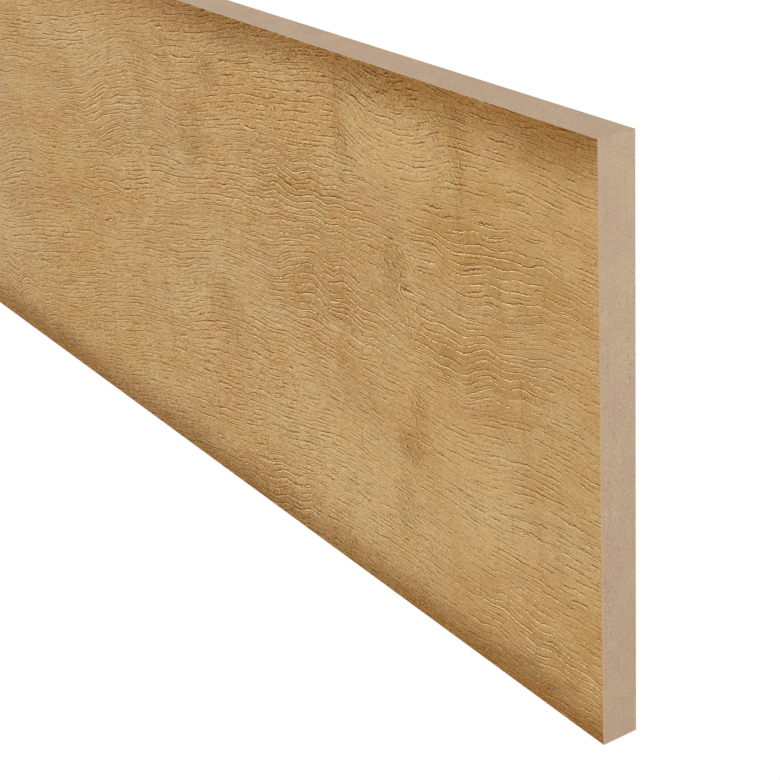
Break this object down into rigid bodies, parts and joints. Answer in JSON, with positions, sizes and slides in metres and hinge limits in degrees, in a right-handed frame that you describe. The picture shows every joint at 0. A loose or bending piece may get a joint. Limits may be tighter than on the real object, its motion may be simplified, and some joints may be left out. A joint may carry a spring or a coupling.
{
  "type": "stair riser board",
  "caption": "Flat stair riser board: a fibreboard core with a thin embossed wood-look laminate on its front, square-sawn on its edges, to close the upright between two treads.",
  "frame": {"origin": "middle of the back, on the surface the board lies on", "axes": "+X along the board, +Y across it from the bottom edge to the top edge, +Z through its thickness, out of the laminated front"},
  "size_m": [1.1938, 0.1874, 0.0127],
  "materials": {
    "mdf": "bare sawn fibreboard",
    "oak_laminate": "oak-look print with pressed grain, satin"
  },
  "bodies": {
    "root": {"mdf_core": "mdf", "face_laminate": "oak_laminate"}
  },
  "joints": []
}
